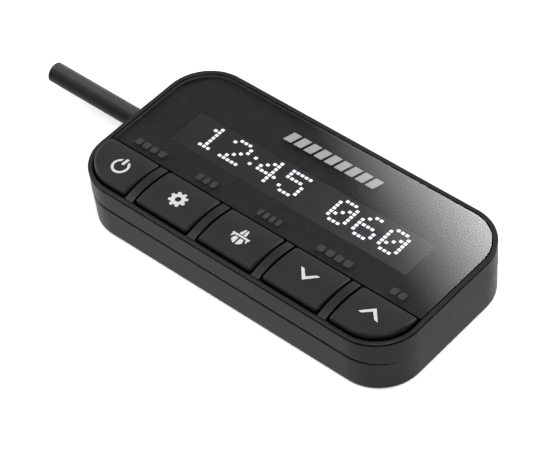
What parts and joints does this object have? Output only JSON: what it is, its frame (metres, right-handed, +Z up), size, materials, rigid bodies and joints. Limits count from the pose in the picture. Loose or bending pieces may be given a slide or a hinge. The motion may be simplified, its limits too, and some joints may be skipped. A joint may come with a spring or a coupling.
{
  "type": "radar detector display module",
  "caption": "Low rounded box with a glossy display window, a row of push keys with icons along its front edge, and a lead leaving one end.",
  "frame": {"origin": "centre of the adhesive face that rests on the dashboard, under the centre of the body", "axes": "+Z up out of the window, +X along the length away from the lead, +Y from the keys towards the window side"},
  "size_m": [0.1001, 0.037, 0.0135],
  "materials": {
    "housing_plastic": "fine satin texture",
    "window_glass": "polished smoked window",
    "mask_print": "matt black print",
    "black_foam": "closed-cell foam with adhesive",
    "display_glass": "dark display glass",
    "inner_plastic": "moulded",
    "ribbon_film": "amber film",
    "connector_plastic": "moulded",
    "board_green": "solder mask",
    "switch_metal": "thin sheet",
    "lamp_body": "clear resin",
    "chip_black": "moulded",
    "tinned_metal": "tinned",
    "ferrite": "sintered",
    "ceramic_tan": "fired",
    "cable_rubber": "satin jacket",
    "copper": "bare copper",
    "wire_red": "insulation",
    "wire_black": "insulation",
    "wire_white": "insulation",
    "wire_yellow": "insulation",
    "screw_steel": "black zinc",
    "key_plastic": "satin",
    "icon_white": "translucent white",
    "plunger_plastic": "moulded"
  },
  "bodies": {
    "housing": {"adhesive_pad": "black_foam", "buzzer": "chip_black", "cable_grommet": "cable_rubber", "cable_header": "connector_plastic", "cable_jacket": "cable_rubber", "cable_plug": "connector_plastic", "chip_capacitors": "ceramic_tan", "chip_resistors": "chip_black", "clock_crystal": "tinned_metal", "controller_chip": "chip_black", "controller_leads": "tinned_metal", "display_back_glass": "display_glass", "display_front_glass": "display_glass", "display_holder": "inner_plastic", "display_ribbon": "ribbon_film", "display_window": "window_glass", "header_pins": "tinned_metal", "housing_screws": "screw_steel", "key_lamps": "lamp_body", "lower_housing": "housing_plastic", "main_board": "board_green", "power_inductor": "ferrite", "ribbon_connector": "connector_plastic", "switch_bodies": "switch_metal", "upper_housing": "housing_plastic", "voltage_regulator": "chip_black", "window_adhesive": "black_foam", "window_mask": "mask_print", "wire_black": "wire_black", "wire_cores": "copper", "wire_red": "wire_red", "wire_white": "wire_white", "wire_yellow": "wire_yellow"},
    "power_key": {"key_power": "key_plastic", "icon_power": "icon_white", "plunger_power": "plunger_plastic"},
    "settings_key": {"key_settings": "key_plastic", "icon_settings": "icon_white", "plunger_settings": "plunger_plastic"},
    "road_key": {"key_road": "key_plastic", "icon_road": "icon_white", "plunger_road": "plunger_plastic"},
    "down_key": {"key_down": "key_plastic", "icon_down": "icon_white", "plunger_down": "plunger_plastic"},
    "up_key": {"key_up": "key_plastic", "icon_up": "icon_white", "plunger_up": "plunger_plastic"}
  },
  "joints": [
    {"name": "power_press", "type": "slide", "parent": "housing", "child": "power_key", "axis": [0, 0, -1], "range_m": [0, 0.0004], "stiffness_N_per_m": 400},
    {"name": "settings_press", "type": "slide", "parent": "housing", "child": "settings_key", "axis": [0, 0, -1], "range_m": [0, 0.0004], "stiffness_N_per_m": 400},
    {"name": "road_press", "type": "slide", "parent": "housing", "child": "road_key", "axis": [0, 0, -1], "range_m": [0, 0.0004], "stiffness_N_per_m": 400},
    {"name": "down_press", "type": "slide", "parent": "housing", "child": "down_key", "axis": [0, 0, -1], "range_m": [0, 0.0004], "stiffness_N_per_m": 400},
    {"name": "up_press", "type": "slide", "parent": "housing", "child": "up_key", "axis": [0, 0, -1], "range_m": [0, 0.0004], "stiffness_N_per_m": 400}
  ]
}
